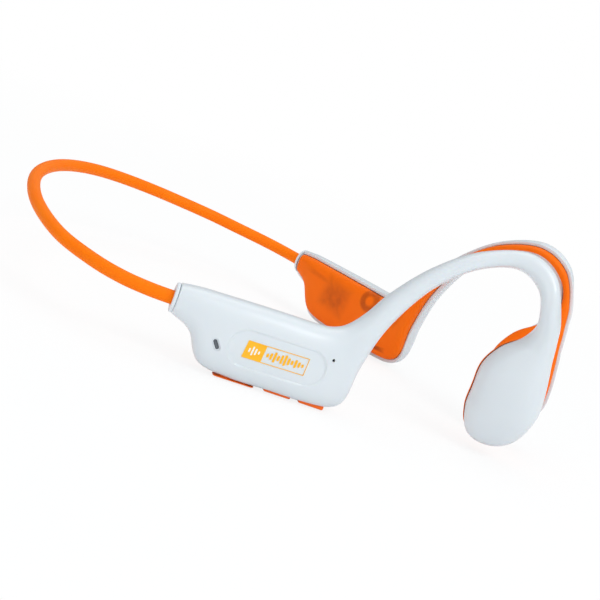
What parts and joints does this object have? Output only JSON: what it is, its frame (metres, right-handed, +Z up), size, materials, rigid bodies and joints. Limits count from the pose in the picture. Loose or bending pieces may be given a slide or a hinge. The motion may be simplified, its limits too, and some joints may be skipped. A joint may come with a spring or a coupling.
{
  "type": "bone conduction headphones",
  "caption": "Open-ear bone conduction headphones with a sprung silicone neckband, hooked side units, cheek pods, press keys and a hinged charging flap.",
  "frame": {"origin": "middle of the bounding box in plan, at its lowest point (the underside of the keys and port flap)", "axes": "+Z up as worn, -Y the way the wearer faces, +X the wearer's left; the object is mirror-symmetric about the YZ plane apart from its controls"},
  "size_m": [0.1312, 0.1681, 0.0591],
  "materials": {
    "band_silicone": "satin",
    "titanium_wire": "satin",
    "cable_jacket": "matt",
    "white_shell": "semi-gloss",
    "grey_white_ring": "matt",
    "white_button": "semi-gloss",
    "orange_cover": "translucent satin",
    "badge_yellow": "satin",
    "key_orange": "satin",
    "flap_orange": "satin",
    "receptacle_steel": "satin",
    "shield_steel": "satin",
    "board_green": "solder mask",
    "switch_black": "matt",
    "led_body": "clear",
    "window_smoke": "smoked",
    "mic_can": "satin",
    "mesh_black": "woven",
    "antenna_brass": "plated",
    "yoke_steel": "plated",
    "magnet_nickel": "nickel plated",
    "coil_copper": "enamelled wire",
    "spring_steel": "bright",
    "drive_plastic": "matt",
    "foam_grey": "foam",
    "screw_steel": "zinc plated",
    "battery_pouch": "laminate"
  },
  "bodies": {
    "neckband": {"band_sleeve": "band_silicone", "band_spring_wire": "titanium_wire", "band_signal_cable": "cable_jacket"},
    "right_unit": {"right_outer_shell": "white_shell", "right_inner_cover": "orange_cover", "right_ferrule": "grey_white_ring", "badge": "badge_yellow", "usb_c_receptacle": "receptacle_steel", "main_board": "board_green", "rf_shield": "shield_steel", "volume_up_switch": "switch_black", "volume_down_switch": "switch_black", "status_led": "led_body", "led_window": "window_smoke", "mic_capsule": "mic_can", "mic_mesh": "mesh_black", "antenna": "antenna_brass", "right_hook_wire": "titanium_wire", "right_hook_cable": "cable_jacket", "right_yoke": "yoke_steel", "right_magnet": "magnet_nickel", "right_voice_coil": "coil_copper", "right_spring_plate": "spring_steel", "right_drive_plate": "drive_plastic", "right_pod_foam": "foam_grey", "board_screws": "screw_steel"},
    "left_unit": {"left_outer_shell": "white_shell", "left_inner_cover": "orange_cover", "left_ferrule": "grey_white_ring", "play_switch": "switch_black", "battery": "battery_pouch", "battery_pad": "foam_grey", "protection_board": "board_green", "talk_mic": "mic_can", "left_hook_wire": "titanium_wire", "left_hook_cable": "cable_jacket", "left_yoke": "yoke_steel", "left_magnet": "magnet_nickel", "left_voice_coil": "coil_copper", "left_spring_plate": "spring_steel", "left_drive_plate": "drive_plastic", "left_pod_foam": "foam_grey"},
    "volume_up": {"volume_up_key": "key_orange"},
    "volume_down": {"volume_down_key": "key_orange"},
    "flap": {"port_flap": "flap_orange"},
    "play": {"play_button": "white_button"}
  },
  "joints": [
    {"name": "right_spread", "type": "hinge", "parent": "neckband", "child": "right_unit", "pos_m": [0, 0.08223, 0.02474], "axis": [0, 0, 1], "range_deg": [-22, 1.2], "stiffness_Nm_per_rad": 0.35, "deforming": ["band_sleeve", "band_spring_wire", "band_signal_cable"]},
    {"name": "left_spread", "type": "hinge", "parent": "neckband", "child": "left_unit", "pos_m": [0, 0.08223, 0.02474], "axis": [0, 0, 1], "range_deg": [-1.2, 22], "stiffness_Nm_per_rad": 0.35},
    {"name": "volume_up_press", "type": "slide", "parent": "right_unit", "child": "volume_up", "axis": [0.0997, 0.0449, 0.994], "range_m": [0, 0.00035], "stiffness_N_per_m": 3500, "springref_m": -0.00012},
    {"name": "volume_down_press", "type": "slide", "parent": "right_unit", "child": "volume_down", "axis": [0.1228, 0.0507, 0.9911], "range_m": [0, 0.00035], "stiffness_N_per_m": 3500, "springref_m": -0.00012},
    {"name": "port_flap_hinge", "type": "hinge", "parent": "right_unit", "child": "flap", "pos_m": [-0.05368, -0.00257, 0.00029], "axis": [0.9042, 0.4194, -0.0809], "range_deg": [0, 100]},
    {"name": "play_press", "type": "slide", "parent": "left_unit", "child": "play", "axis": [-0.8948, 0.4356, -0.0976], "range_m": [0, 0.00035], "stiffness_N_per_m": 3500, "springref_m": -0.00012}
  ]
}
